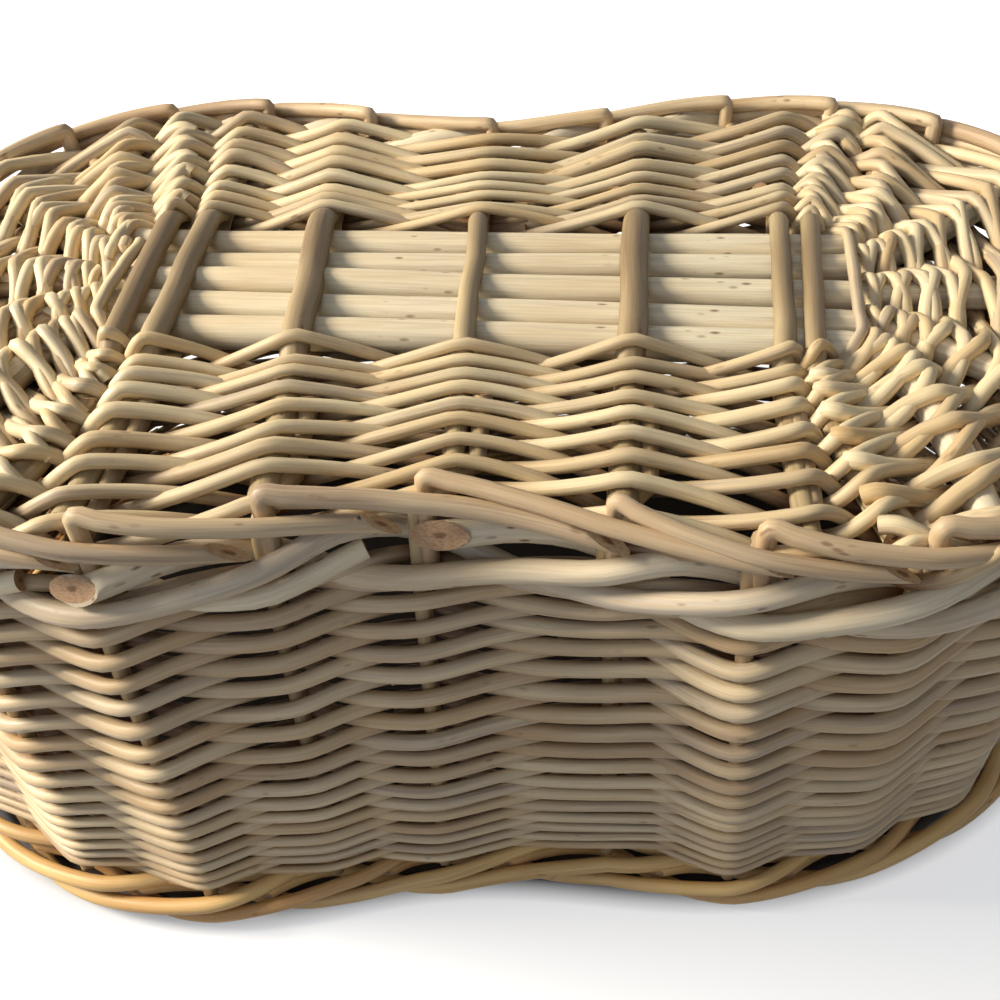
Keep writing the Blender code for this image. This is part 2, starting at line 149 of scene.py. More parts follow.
# How many rings of points a slanted cut may shorten, the points that give its direction, and how far
# apart the grain of one rod lies from the next one's
CUT_RINGS = 9
CUT_STEPS = 3
GRAIN_SHIFT = 3.7
MERGE_WITHIN = 0.00001
SMOOTH_UP_TO = math.radians(48)


def rods(name, paths, radii, finishes, sides=8, cuts=(), painted_shade=None):
    """Willow rods as one piece: every path becomes one round rod with closed ends.

    Each point keeps its place in its own rod, in metres along and across, for the grain.
    finishes are the willow's and, where there are two, that of the ends.
    cuts lists slanted ends, as (rod, first or last, the side that the cut faces, its slope).
    The last argument gives each point's share of painted shade, which darkens the willow where a rod lies
    under the sticks or behind the stakes, facing into the basket.
    """
    bpy.ops.object.select_all(action="DESELECT")
    bpy.ops.curve.primitive_nurbs_path_add()
    piece = bpy.context.object
    piece.name = name
    curve = piece.data
    curve.splines.clear()
    for path, radius in zip(paths, radii):
        spline = curve.splines.new("POLY")
        spline.points.add(len(path) - 1)
        spline.points.foreach_set("co", np.column_stack([path, np.ones(len(path))]).ravel())
        spline.points.foreach_set("radius", np.broadcast_to(radius, len(path)).ravel())
    curve.bevel_depth = 1.0
    curve.bevel_resolution = sides // 2 - 2
    curve.use_fill_caps = True
    bpy.ops.object.convert(target="MESH")
    mesh = piece.data
    mesh.name = name
    points = np.empty(len(mesh.vertices) * 3)
    mesh.vertices.foreach_get("co", points)
    points = points.reshape(-1, 3)
    space = np.zeros_like(points)
    tone = np.zeros(len(points), int)
    # Each point's share of painted shade, for the finish
    painted_shade_share = np.zeros(len(points))
    # The mesh begins with the points of the ends: two rings for each rod, the last rod's first
    end_points = 2 * sides * len(paths)
    first = end_points
    angles = np.arange(sides) * 2 * math.pi / sides
    for n, (path, radius) in enumerate(zip(paths, radii)):
        count = len(path)
        radius = np.broadcast_to(radius, count)
        body = slice(first, first + count * sides)
        rings = points[body].reshape(count, sides, 3)
        along = np.concatenate([[0.0], np.cumsum(np.linalg.norm(np.diff(path, axis=0), axis=1))])
        across = np.empty((count, sides, 3))
        across[..., 0] = along[:, None] + GRAIN_SHIFT * n
        across[..., 1] = radius[:, None] * np.cos(angles)
        across[..., 2] = radius[:, None] * np.sin(angles)
        cap = (len(paths) - 1 - n) * 2 * sides
        caps = []
        for low, ring in ((cap, count - 1), (cap + sides, 0)):
            gaps = np.linalg.norm(points[low:low + sides, None] - rings[None, ring], axis=-1)
            caps.append((slice(low, low + sides), ring, gaps.argmin(axis=1)))
        for end, facing, slope in [cut[1:] for cut in cuts if cut[0] == n]:
            tip, before, near, width = path[-1], path[-1 - CUT_STEPS], slice(-CUT_RINGS, None), radius[-1]
            if end == "first":
                tip, before, near, width = path[0], path[CUT_STEPS], slice(0, CUT_RINGS), radius[0]
            axis = (tip - before) / np.linalg.norm(tip - before)
            facing = np.asarray(facing, float) - np.dot(facing, axis) * axis
            facing /= np.linalg.norm(facing)
            offset = rings[near] - tip
            past = offset @ axis + (offset @ facing + width) * slope
            rings[near] -= np.maximum(past, 0.0)[..., None] * axis
        for low, ring, match in caps:
            points[low] = rings[ring][match]
            space[low] = across[ring][match]
            painted_shade_share[low] = 0.0 if painted_shade is None else painted_shade[n][ring]
        space[body] = across.reshape(-1, 3)
        painted_shade_share[body] = 0.0 if painted_shade is None else np.repeat(painted_shade[n], sides)
        tone[body] = n
        tone[cap:cap + 2 * sides] = n
        first += count * sides
    mesh.vertices.foreach_set("co", points.ravel())
    mesh.attributes.new("rod_space", "FLOAT_VECTOR", "POINT").data.foreach_set("vector", space.ravel())
    mesh.attributes.new("rod_painted_shade", "FLOAT", "POINT").data.foreach_set("value", painted_shade_share)
    shades = rng.random(len(paths))
    mesh.attributes.new("rod_tone", "FLOAT", "POINT").data.foreach_set("value", shades[tone])
    for finish in finishes:
        mesh.materials.append(finish)
    if len(finishes) > 1:
        for face in mesh.polygons:
            face.material_index = int(face.vertices[0] < end_points)
    bpy.ops.object.mode_set(mode="EDIT")
    bpy.ops.mesh.select_all(action="SELECT")
    bpy.ops.mesh.remove_doubles(threshold=MERGE_WITHIN)
    bpy.ops.object.mode_set(mode="OBJECT")
    bpy.ops.object.shade_smooth_by_angle(angle=SMOOTH_UP_TO)
    return piece


def colour(red, green, blue):
    """A shader colour from the red, green and blue of a picture, 0 to 255."""
    shares = np.array([red, green, blue]) / 255
    linear = np.where(shares <= 0.04045, shares / 12.92, ((shares + 0.055) / 1.055) ** 2.4)
    return (*(float(share) for share in linear), 1.0)


class Nodes:
    """The nodes of a finish or of the studio's sky, added and joined one after another."""

    def __init__(self, tree):
        self.tree = tree

    def feed(self, socket, value):
        if isinstance(value, bpy.types.NodeSocket):
            self.tree.links.new(value, socket)
        else:
            socket.default_value = value

    def node(self, kind, inputs=None, output=0, **settings):
        """Adds a node, sets it up, feeds its inputs and returns one of its outputs."""
        made = self.tree.nodes.new("ShaderNode" + kind)
        for key, value in settings.items():
            setattr(made, key, value)
        for key, value in (inputs or {}).items():
            self.feed(made.inputs[key], value)
        return made.outputs[output]

    def maths(self, operation, first, second=0.0):
        return self.node("Math", {0: first, 1: second}, operation=operation)

    def scaled(self, vector, along, across):
        return self.node("VectorMath", {0: vector, 1: (along, across, across)}, operation="MULTIPLY")

    def noise(self, vector, detail=2.0, rough=0.5):
        return self.node("TexNoise", {"Vector": vector, "Scale": 1.0, "Detail": detail, "Roughness": rough})

    def spread(self, value, low, high, to_low=0.0, to_high=1.0):
        inputs = {"Value": value, "From Min": low, "From Max": high, "To Min": to_low, "To Max": to_high}
        return self.node("MapRange", inputs)

    def blend(self, factor, under, over, how="MIX"):
        made = self.tree.nodes.new("ShaderNodeMix")
        made.data_type = "RGBA"
        made.blend_type = how
        self.feed(made.inputs[0], factor)
        self.feed(made.inputs[6], under)
        self.feed(made.inputs[7], over)
        return made.outputs[2]


class Finish(Nodes):
    """A material under construction, with its shader ready to be fed."""

    def __init__(self, name):
        self.material = bpy.data.materials.new(name)
        self.material.use_nodes = True
        super().__init__(self.material.node_tree)
        self.shader = self.tree.nodes["Principled BSDF"]


def willow(name, pale, deep, dull, stain=0.35, speckle=0.5):
    """Peeled willow: fine fibres along the rod, slow changes of tone, stains, dots where buds sat, and
    painted shade where a rod faces into the basket.
    """
    finish = Finish(name)
    space = finish.node("Attribute", output=1, attribute_name="rod_space")
    tone = finish.node("Attribute", output=2, attribute_name="rod_tone")
    fibres = finish.noise(finish.scaled(space, 60.0, 2600.0), 3.0, 0.6)
    streaks = finish.noise(finish.scaled(space, 22.0, 620.0), 2.0)
    patches = finish.noise(finish.scaled(space, 16.0, 90.0), 2.0)
    drift = finish.noise(finish.scaled(space, 5.0, 12.0), 1.0)
    rod_share = finish.spread(tone, 0.0, 1.0, -0.5, 0.6)
    deeper = finish.maths("ADD", finish.spread(patches, 0.35, 0.7), rod_share)
    surface = finish.blend(finish.spread(deeper, 0.0, 1.2), pale, deep)
    duller = finish.maths("MULTIPLY", finish.spread(drift, 0.42, 0.62), finish.spread(streaks, 0.3, 0.65))
    surface = finish.blend(finish.maths("MULTIPLY", duller, 0.75), surface, dull)
    dark = finish.blend(1.0, surface, colour(176, 140, 98), "MULTIPLY")
    surface = finish.blend(finish.maths("MULTIPLY", finish.spread(streaks, 0.55, 0.8), stain), surface, dark)
    fibre_light = finish.spread(fibres, 0.3, 0.75, 0.0, 0.32)
    surface = finish.blend(fibre_light, surface, dark)
    cells = finish.node("TexVoronoi", {"Vector": finish.scaled(space, 150.0, 420.0), "Scale": 1.0})
    dots = finish.spread(cells, 0.12, 0.26, 1.0, 0.0)
    field = finish.spread(finish.noise(finish.scaled(space, 55.0, 90.0), 1.0), 0.56, 0.66)
    dots = finish.maths("MULTIPLY", finish.maths("MULTIPLY", dots, field), speckle)
    surface = finish.blend(dots, surface, colour(112, 76, 44))
    # Painted shade: each point's share of painted shade turns the willow a deeper brown where the rod faces
    # into the basket.
    painted_shade_mask = finish.node("Attribute", output=2, attribute_name="rod_painted_shade")
    painted_shade_colour = finish.blend(1.0, surface, colour(122, 88, 60), "MULTIPLY")
    surface = finish.blend(painted_shade_mask, surface, painted_shade_colour)
    finish.feed(finish.shader.inputs["Base Color"], surface)
    finish.feed(finish.shader.inputs["Roughness"], finish.spread(fibres, 0.2, 0.8, 0.42, 0.62))
    ridges = finish.maths("MULTIPLY", fibres, 0.35)
    height = finish.maths("ADD", ridges, finish.maths("MULTIPLY", streaks, 0.4))
    height = finish.maths("SUBTRACT", height, finish.maths("MULTIPLY", dots, 0.5))
    bump = finish.node("Bump", {"Strength": 0.35, "Distance": 0.0004, "Height": height})
    finish.feed(finish.shader.inputs["Normal"], bump)
    return finish.material


def cut_wood(name, wood, pith):
    """A cut across a rod: pale wood round a small brown pith, with darker speckles."""
    finish = Finish(name)
    space = finish.node("Attribute", output=1, attribute_name="rod_space")
    flat = finish.scaled(space, 0.0, 1.0)
    middle = finish.node("VectorMath", {0: flat}, output=1, operation="LENGTH")
    speckle = finish.noise(finish.scaled(space, 900.0, 1800.0), 2.0)
    reach = finish.maths("ADD", middle, finish.spread(speckle, 0.3, 0.7, -0.0003, 0.0003))
    surface = finish.blend(finish.spread(reach, 0.0005, 0.0009), pith, wood)
    edge = finish.blend(1.0, surface, colour(205, 170, 135), "MULTIPLY")
    surface = finish.blend(finish.spread(speckle, 0.4, 0.7, 0.0, 0.7), surface, edge)
    finish.feed(finish.shader.inputs["Base Color"], surface)
    finish.shader.inputs["Roughness"].default_value = 0.75
    bump = finish.node("Bump", {"Strength": 0.4, "Distance": 0.0003, "Height": speckle})
    finish.feed(finish.shader.inputs["Normal"], bump)
    return finish.material


def settle(piece, slot, *nodes):
    """The piece rides on the basket and stands for its CAD nodes, which it hides; slot is not used."""
    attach(piece, "root")
    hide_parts(*nodes)


def bent(start, bend, target, shares):
    """A rod's run that leaves start towards bend and ends at target."""
    shares = np.asarray(shares)[:, None]
    return (1 - shares) ** 2 * start + 2 * shares * (1 - shares) * bend + shares ** 2 * target


def long_stick_run(row, side, shares):
    """The fanned end of a long stick, from the panel's end (0) to the edge of the base (1)."""
    left, right = LONG_STICKS[row + 2][:2]
    start = np.array([side * PANEL_HALF_LENGTH, (right if side > 0 else left) + SETBACK, BASE_MID_Z])
    bend = start + (side * FAN_BEND, 0, 0)
    end_stake = RIGHT_END_STAKE if side > 0 else LEFT_END_STAKE
    target = place(end_stake + side * row * FAN_SPREAD, -EDGE_INSET, BASE_MID_Z)
    return bent(start, bend, target, shares)


def joined(before, after):
    """One path out of two outer runs, with a straight stretch of points between them."""
    middle_shares = np.linspace(0, 1, MIDDLE_POINTS + 2)[1:-1, None]
    return np.vstack([before, before[-1] * (1 - middle_shares) + after[0] * middle_shares, after])


stick_finish = willow(
    "peeled_stick", colour(242, 232, 202), colour(222, 198, 156), colour(198, 186, 166),
    stain=0.25, speckle=0.8)
stick_cut = cut_wood("stick_cut", colour(214, 180, 142), colour(96, 62, 40))
for row in range(-2, 3):
    thickness, lift = LONG_STICKS[row + 2][2:]
    right = long_stick_run(row, 1, np.linspace(0, 1, END_POINTS))
    left = long_stick_run(row, -1, np.linspace(1, 0, END_POINTS))
    path = joined(left, right)
    path[:, 1:] += np.column_stack([wander(len(path), 0.0001, 6), wander(len(path), 0.0002, 6)])
    path[:, 2] += lift * np.exp(-((path[:, 0] / PANEL_HALF_LENGTH - LIFT_MIDDLE) / LIFT_REACH) ** 2)
    pared = np.clip((np.abs(path[:, 0]) - PARED_FROM) / PARED_LENGTH, 0, 1)
    taper = 1 - (1 - LONG_TAPER) * pared
    width = thickness / 2 * taper * (1 + wander(len(path), 0.008, 7))
    piece = rods(f"long_stick_{row + 3}", [path], [width], (stick_finish, stick_cut), sides=20)
    settle(piece, "long_stick", f"base_long_stick_{row + 3}")

# The seven cross sticks: willow of 5 to 8 mm, each slit along its middle and pushed over the long sticks.
# The slit halves lie above and below the panel, close again beside it and run on to the edge.
SLIT_LIFT = 0.0049
SLIT_OPEN_Y = PANEL_HALF_WIDTH + 0.0006
SLIT_CLOSED_Y = SLIT_OPEN_Y + 0.0085
PANEL_EDGE_Y = PANEL_HALF_WIDTH + 0.0010
# Each cross stick: where it crosses the middle line, its slant, its thickness, how far its ends fan out
CROSS_STICKS = (
    (-0.0944, 0.0, 0.0072, -0.42), (-0.0831, 0.013, 0.0074, -0.10), (-0.0459, -0.054, 0.0084, 0.0),
    (-0.0002, -0.020, 0.0058, 0.0), (0.0448, 0.036, 0.0078, 0.0), (0.0851, 0.067, 0.0057, 0.10),
    (0.0934, 0.085, 0.0057, 0.42),
)
CROSS_END_POINTS = 16
EDGE_Y = 0.080
HALVES_APART = 0.00005


def edge_stake(x, side):
    """Where on the edge of the base a straight stick at x ends, counted in stakes."""
    stakes = np.linspace(-6, 6, 481) + (0 if side < 0 else STAKE_COUNT / 2)
    return stakes[np.abs(place(stakes, -EDGE_INSET, BASE_MID_Z)[:, 0] - x).argmin()]


def slit_lift(y):
    """How far each half of a slit stick is held off the middle, at y from the panel's middle line."""
    return SLIT_LIFT * np.clip((SLIT_CLOSED_Y - np.abs(y)) / (SLIT_CLOSED_Y - SLIT_OPEN_Y), 0, 1) ** 0.8


def cross_stick_run(n, side, shares):
    """A cross stick from the panel's edge (0) to the edge of the base (1), on the front or the back."""
    middle, slant, _, fan = CROSS_STICKS[n]
    start = np.array([middle + slant * side * PANEL_EDGE_Y, side * PANEL_EDGE_Y + SETBACK, BASE_MID_Z])
    edge_x = middle + slant * side * EDGE_Y
    target = place(edge_stake(edge_x, side) - side * fan, -EDGE_INSET, BASE_MID_Z)
    bend = start * 0.6 + target * 0.4
    bend[0] = middle + slant * bend[1]
    return bent(start, bend, target, shares)


cross_finish = willow(
    "cross_stick", colour(196, 178, 138), colour(136, 116, 84), colour(122, 114, 90),
    stain=0.9, speckle=0.8)
for n, (_, _, thickness, _) in enumerate(CROSS_STICKS):
    front = cross_stick_run(n, -1, np.linspace(1, 0, CROSS_END_POINTS))
    back = cross_stick_run(n, 1, np.linspace(0, 1, CROSS_END_POINTS))
    line = joined(front, back)
    lift = slit_lift(line[:, 1] - SETBACK)
    line[:, 0] += wander(len(line), 0.0003, 8)
    width = thickness / 2 * (1 + wander(len(line), 0.02, 7))
    halves = []
    for side in (1, -1):
        path = line.copy()
        path[:, 2] += side * lift
        half = rods(f"cross_stick_{n + 1}_{side}", [path], [width], (cross_finish, stick_cut), sides=16)
        for vertex in half.data.vertices:
            open_by = np.interp(vertex.co.y, line[:, 1], lift)
            above = max(side * (vertex.co.z - BASE_MID_Z) - open_by, 0.0)
            vertex.co.z = BASE_MID_Z + side * (open_by + above + HALVES_APART)
        halves.append(half)
    bpy.ops.object.select_all(action="DESELECT")
    for half in halves:
        half.select_set(True)
    bpy.context.view_layer.objects.active = halves[0]
    bpy.ops.object.join()
    halves[0].name = f"cross_stick_{n + 1}"
    settle(halves[0], "cross_stick", f"base_cross_stick_{n + 1}")

# The base weavers: two rods at a time are twined round the sticks, over one and under the next.
# They start against the panel, pass the long sticks as one bundle in the first round, and go round
# eight and a half times, beaten up close, to the edge. Short packing rods fill the two ends.
BASE_START = -7.0
BASE_ROUNDS = 8.5
FIRST_SHARE = 0.035
LAST_SHARE = 1.105
LEAST_SHARE = 0.03
MOST_SHARE = 1.115
ROW_OPENING = 0.10
BASE_FILL = 0.27
BASE_WEAVER_THIN = 0.00165
BASE_WEAVER_THICK = 0.00205
PACKING_REACH = 2.9
BASE_KINK = 0.7
BASE_LEAN = 0.38
# How far a row wanders inwards and outwards, and how far each rod lies off it, as shares of the way out
ROW_WANDER = 0.015
ROD_OFF = 0.006
NEARBY = 0.03
# Between close sticks a weaver bends softly, and the more sharply the wider apart they are
SOFT_SPACING = 0.010
SHARP_SPACING = 0.020
# The stakes of each half round between which the first round passes the long sticks as one bundle
BUNDLE_FROM = 4
BUNDLE_TO = 8
# A weaver's slant across its row from stick to stick, and how far inwards a rod starts beside the last one
BASE_SLANT = 0.29
SLANT_LEAST = 0.0013
SLANT_MOST = 0.0026
START_ASIDE = 0.0016
START_LENGTH = 0.9
CLEARANCE = 0.0001
# A rod's usual length in stakes, how far it overlaps the rods before and after it, and its points a stake
ROD_STAKES = 21.0
ROD_LEAD = 0.3
ROD_TAIL = 0.45
SAMPLES = 12


def stick_points(shares):
    """The twenty-four sticks of the base at a share of the way out: rows of points, from stake -3 on."""
    runs = [cross_stick_run(n, -1, shares) for n in range(7)]
    runs += [long_stick_run(row, 1, shares) for row in range(-2, 3)]
    runs += [cross_stick_run(n, 1, shares) for n in range(6, -1, -1)]
    runs += [long_stick_run(row, -1, shares) for row in range(2, -3, -1)]
    return np.stack(runs)


base_shares = np.linspace(0, 1, 41)
stick_table = stick_points(base_shares)
stick_radii = [stick[2] / 2 for stick in CROSS_STICKS] + [stick[2] / 2 for stick in LONG_STICKS]
stick_radii = np.array(stick_radii + [stick[2] / 2 for stick in CROSS_STICKS[::-1] + LONG_STICKS[::-1]])


def on_stick(stick, share):
    """Where each stick is at a share of the way out, for whole stick numbers; straight on past its end."""
    column = np.mod(stick + 3, STAKE_COUNT).astype(int)
    at = np.maximum(share, 0) * (len(base_shares) - 1)
    low = np.minimum(at.astype(int), len(base_shares) - 2)
    part = (at - low)[:, None]
    return stick_table[column, low] * (1 - part) + stick_table[column, low + 1] * part


def on_base(sticks, share):
    """Points on the base between the sticks: a line round the base, nearly straight from stick to stick."""
    whole = np.floor(sticks)
    part = (sticks - whole)[:, None]
    before, here, there, after = (on_stick(whole + step, share) for step in (-1, 0, 1, 2))
    lean_here = (there - before) * BASE_LEAN
    lean_there = (after - here) * BASE_LEAN
    square, cube = part ** 2, part ** 3
    points = here * (2 * cube - 3 * square + 1) + there * (3 * square - 2 * cube)
    points += lean_here * (cube - 2 * square + part) + lean_there * (cube - square)
    straight = here * (1 - part) + there * part
    return straight * BASE_KINK + points * (1 - BASE_KINK)


def stick_height(stick, share):
    """How far the top of each stick stands over the middle of the base."""
    column = np.mod(stick + 3, STAKE_COUNT).astype(int)
    crossing = (column < 7) | ((column > 11) & (column < 19))
    y = on_stick(stick, share)[:, 1] - SETBACK
    across = stick_radii[column] + slit_lift(y)
    along = stick_radii[column] * (1 - (1 - LONG_TAPER) * np.clip(share / PARED_SHARE, 0, 1))
    return np.where(crossing, across, along)


def over_under(stakes, kink):
    """1 over every even stake and -1 under every odd one, folded sharply (kink 1) to softly (kink 0)."""
    fold = 1 - 2 * np.abs(np.mod(stakes + 1, 2) - 1)
    return (1 - kink) * np.cos(math.pi * stakes) + kink * fold


def rod_ends(first, last):
    """Cuts a strand into rods of nearly natural length, each an even number of stakes long."""
    ends = [first]
    while ends[-1] + ROD_STAKES * 1.5 < last:
        ends.append(ends[-1] + 2 * round(ROD_STAKES * (0.4 + 0.2 * rng.random())))
    return list(zip(ends, ends[1:] + [last]))


def tapered(count, thick, thin):
    """A rod's radius from its thick end to its tip, with slight swellings."""
    return np.linspace(thick, thin, count) * (1 + wander(count, 0.025, 9))


def base_strand(strand):
    """One of the two strands that are twined round the base, as rods that overlap where one takes over.

    Between its rounds, short packing rods fill both ends, where the sticks fan out: each length is given
    by its first and last stake, and by how many stakes' worth of a round it lies further out.
    """
    paths, radii, painted_shade = [], [], []
    start = BASE_START + strand
    finish = start + BASE_ROUNDS * STAKE_COUNT
    lengths = [(first, last, 0.0) for first, last in rod_ends(start, finish)]
    for around in range(1, int(BASE_ROUNDS)):
        for middle in (RIGHT_END_STAKE, LEFT_END_STAKE - STAKE_COUNT):
            at = middle + around * STAKE_COUNT
            lengths.append((at - PACKING_REACH, at + PACKING_REACH, 0.5 * STAKE_COUNT))
    for first, last, outwards in lengths:
        count = int((last - first + ROD_LEAD + ROD_TAIL) * SAMPLES) + 1
        stakes = np.linspace(first - ROD_LEAD, last + ROD_TAIL, count)
        done = np.clip((stakes + outwards - start) / (finish - start), 0, 1)
        done = done * (1 - ROW_OPENING * (1 - done))
        share = FIRST_SHARE + (LAST_SHARE - FIRST_SHARE) * done
        share = share + wander(count, ROW_WANDER, 14) + ROD_OFF * rng.normal()
        share = np.clip(share, LEAST_SHARE, MOST_SHARE)
        whole = np.floor(stakes)
        part = stakes - whole
        spacing = np.linalg.norm(on_stick(whole + 1, share) - on_stick(whole, share), axis=-1)
        kink = np.clip((spacing - SOFT_SPACING) / SHARP_SPACING, 0.1, 0.9)
        wave = over_under(stakes + strand + (outwards > 0), kink)
        place_in_round = np.mod(stakes, STAKE_COUNT / 2)
        bundled = (place_in_round > BUNDLE_FROM) & (place_in_round < BUNDLE_TO)
        bundled &= stakes - start < STAKE_COUNT
        wave = np.where(bundled, 1 - 2 * strand, wave)
        height = stick_height(whole, share) * (1 - part) + stick_height(whole + 1, share) * part
        middle = on_base(stakes, share)
        outward = on_base(stakes, share + NEARBY) - on_base(stakes, share - NEARBY)
        outward /= np.maximum(np.linalg.norm(outward, axis=-1, keepdims=True), 1e-9)
        row_width = np.linalg.norm(on_base(stakes, share + 1 / BASE_ROUNDS) - middle, axis=-1)
        thick = np.clip(BASE_FILL * row_width, BASE_WEAVER_THIN, BASE_WEAVER_THICK)
        radius = thick * tapered(count, thick=1.12, thin=0.90)
        slant = np.clip(BASE_SLANT * row_width, SLANT_LEAST, SLANT_MOST)
        sideways = np.where(bundled, 0.0, -slant * np.sin(math.pi * (stakes + strand)))
        sideways -= START_ASIDE * np.clip(first + START_LENGTH - stakes, 0, 1)
        swing = (height + radius + CLEARANCE) * (1 + wander(count, 0.03, 8))
        path = middle + outward * sideways[:, None]
        path[:, 2] = BASE_MID_Z + swing * wave + wander(count, 0.0002, 6)
        paths.append(path)
        radii.append(radius)
        # Painted shade: a weaver is darkened where it runs under a stick, facing into the basket.
        painted_shade.append(np.clip(0.1 - wave, 0, 1))
    return paths, radii, painted_shade


weaver_cut = cut_wood("weaver_cut", colour(224, 198, 158), colour(150, 112, 78))
base_finish = willow(
    "base_weaver", colour(240, 224, 184), colour(210, 182, 134), colour(172, 160, 146),
    stain=0.4, speckle=0.6)
paths, radii, painted_shade = (one + other for one, other in zip(base_strand(0), base_strand(1)))
piece = rods("base_weavers", paths, radii, (base_finish, weaver_cut), painted_shade=painted_shade)
settle(piece, "base_weaver", "base_weave_upper", "base_weave_lower")

# The twenty-four side stakes: rods of 4.6 mm, let in beside the sticks of the base with their thicker
# butts, which are cut on the slant. Each turns down at the edge of the base and runs through the wall.
STAKE_RADIUS = 0.0023
LET_IN_SHARE = 0.33
LET_OUT_SHARE = 0.86
LET_IN_POINTS = 12
BESIDE_STICK = 0.14
BUTT_LIFT = 0.0026
BUTT_SWELLING = np.array([1.18, 1.18, 1.16, 1.12, 1.05])
BUTT_SLOPE = 1.1
# The turn at the edge, point by point: stakes to the right, metres outwards, metres below the base
TURN_ASIDE = np.array([0.04, 0.02, 0.0, 0.0, 0.0])
TURN_OUT = np.array([-0.006, -0.0034, -0.0014, -0.0003, 0.0])
TURN_DROP = np.array([0.0006, 0.0014, 0.0030, 0.0050, 0.0080])
UPRIGHT_TOP_Z = BASE_MID_Z - 0.012
UPRIGHT_LOW_Z = 0.0114
UPRIGHT_POINTS = 26

butt_cut = cut_wood("butt_cut", colour(184, 152, 118), colour(118, 88, 62))
stake_finish = willow(
    "side_stake", colour(196, 172, 130), colour(158, 130, 94), colour(140, 126, 106),
    stain=0.5, speckle=0.7)
paths, cuts = [], []
for k in range(-3, STAKE_COUNT - 3):
    shares = np.linspace(LET_IN_SHARE, LET_OUT_SHARE, LET_IN_POINTS)
    beside = on_base(np.full(LET_IN_POINTS, k + BESIDE_STICK), shares)
    beside[:, 2] = BASE_MID_Z + BUTT_LIFT * np.exp(-np.arange(LET_IN_POINTS) / 2.5)
    cuts.append((len(paths), "first", (0, 0, 1), BUTT_SLOPE))
    turn_down = place(k + TURN_ASIDE, TURN_OUT, BASE_MID_Z - TURN_DROP)
    heights = np.linspace(UPRIGHT_TOP_Z, UPRIGHT_LOW_Z, UPRIGHT_POINTS)
    down = place(k, wander(UPRIGHT_POINTS, 0.0003, 5), heights)
    paths.append(np.vstack([beside, turn_down, down]))
width = np.full(len(paths[0]), STAKE_RADIUS)
width[:len(BUTT_SWELLING)] = STAKE_RADIUS * BUTT_SWELLING
piece = rods("side_stakes", paths, [width] * STAKE_COUNT, (stake_finish, butt_cut), sides=12, cuts=cuts)
settle(piece, "stake", *(f"side_stake_{k + 1:02d}" for k in range(STAKE_COUNT)))

# The upsett: six thick pale rods worked as a three-rod wale round the feet of the stakes.
# Each climbs outside past two stakes and drops behind the third. Its butt is cut on the slant and its
# tip is tucked in behind the next rod's butt.
UPSETT_RADIUS = 0.0032
UPSETT_BUTT = 0.0037
UPSETT_BUTT_OUT = 0.0008
UPSETT_BUTT_FADES = 0.9
UPSETT_CUT_SLOPE = 1.9
# The stakes that a rod needs from its butt to find its place in the wale
UPSETT_SETTLES = 1.2
UPSETT_Z = 0.1446
UPSETT_OUT = 0.0060
UPSETT_FAR_LIFT = 0.0060
# Each rod's butt, the stake that it climbs past first, and how high the butt lies in the wale
UPSETT_RODS = (
    (-2.20, -3, 0.0020), (-0.04, -1, 0.0076), (5.1, -2, 0.0030), (9.8, -3, 0.0030), (11.9, -1, 0.0050),
    (17.1, -2, 0.0030),
)
UPSETT_SPAN = 11.75
UPSETT_TUCK = 0.7
UPSETT_TIP = 0.86
# One step of the wale: stakes passed, share of UPSETT_OUT outwards, millimetres upwards
UPSETT_STEP_STAKES = np.array([0.0, 0.5, 1.0, 1.5, 2.0, 2.5, 3.0])
UPSETT_STEP_OUT = np.array([1.0, 1.0, 1.0, 0.1, -1.0, 0.0, 1.0])
UPSETT_STEP_LIFT = np.array([-6.2, -2.0, 2.6, 7.4, 0.0, -9.0, -6.2])
UPSETT_SAMPLES = 8
SOFTEN = np.array([0.25, 0.5, 0.25])


def upsett_run(start, stop, phase, butt_lift):
    """A rod of the wale: outside and rising past two stakes, then behind the third."""
    stakes = np.linspace(start, stop, int((stop - start) * UPSETT_SAMPLES) + 1)
    part = np.mod(stakes - phase, UPSETT_STEP_STAKES[-1])
    out = np.interp(part, UPSETT_STEP_STAKES, UPSETT_STEP_OUT * UPSETT_OUT)
    lift = np.interp(part, UPSETT_STEP_STAKES, UPSETT_STEP_LIFT * 0.001)
    for _ in range(2):
        out[1:-1] = np.convolve(out, SOFTEN, "valid")
        lift[1:-1] = np.convolve(lift, SOFTEN, "valid")
    settled = np.clip((stakes - start) / UPSETT_SETTLES, 0, 1)
    lift = lift * settled + np.maximum(butt_lift, lift) * (1 - settled)
    out = out + UPSETT_BUTT_OUT * (1 - settled)
    out = out - UPSETT_OUT * np.clip((stakes - stop + UPSETT_TUCK) / UPSETT_TUCK, 0, 1)
    far = np.clip(-np.cos(2 * math.pi * stakes / STAKE_COUNT), 0, 1)
    return place(stakes, out, UPSETT_Z + UPSETT_FAR_LIFT * far + lift)


upsett_finish = willow(
    "upsett_rod", colour(242, 230, 200), colour(208, 188, 156), colour(188, 180, 170),
    stain=0.3, speckle=0.9)
for n, (start, phase, butt_lift) in enumerate(UPSETT_RODS):
    path = upsett_run(start, start + UPSETT_SPAN, phase, butt_lift)
    thin = UPSETT_RADIUS * np.linspace(1.0, UPSETT_TIP, len(path))
    passed = np.linspace(0, UPSETT_SPAN, len(path))
    width = thin + (UPSETT_BUTT - UPSETT_RADIUS) * np.exp(-passed / UPSETT_BUTT_FADES)
    facing = place(start, 0.01, UPSETT_Z) - place(start, 0.0, UPSETT_Z) + (0, 0, 0.006)
    piece = rods(f"upsett_rod_{n + 1}", [path], [width], (upsett_finish, butt_cut), sides=16,
                 cuts=[(0, "first", facing, UPSETT_CUT_SLOPE)])
    settle(piece, "upsett_rod", f"upsett_rod_{n + 1}")

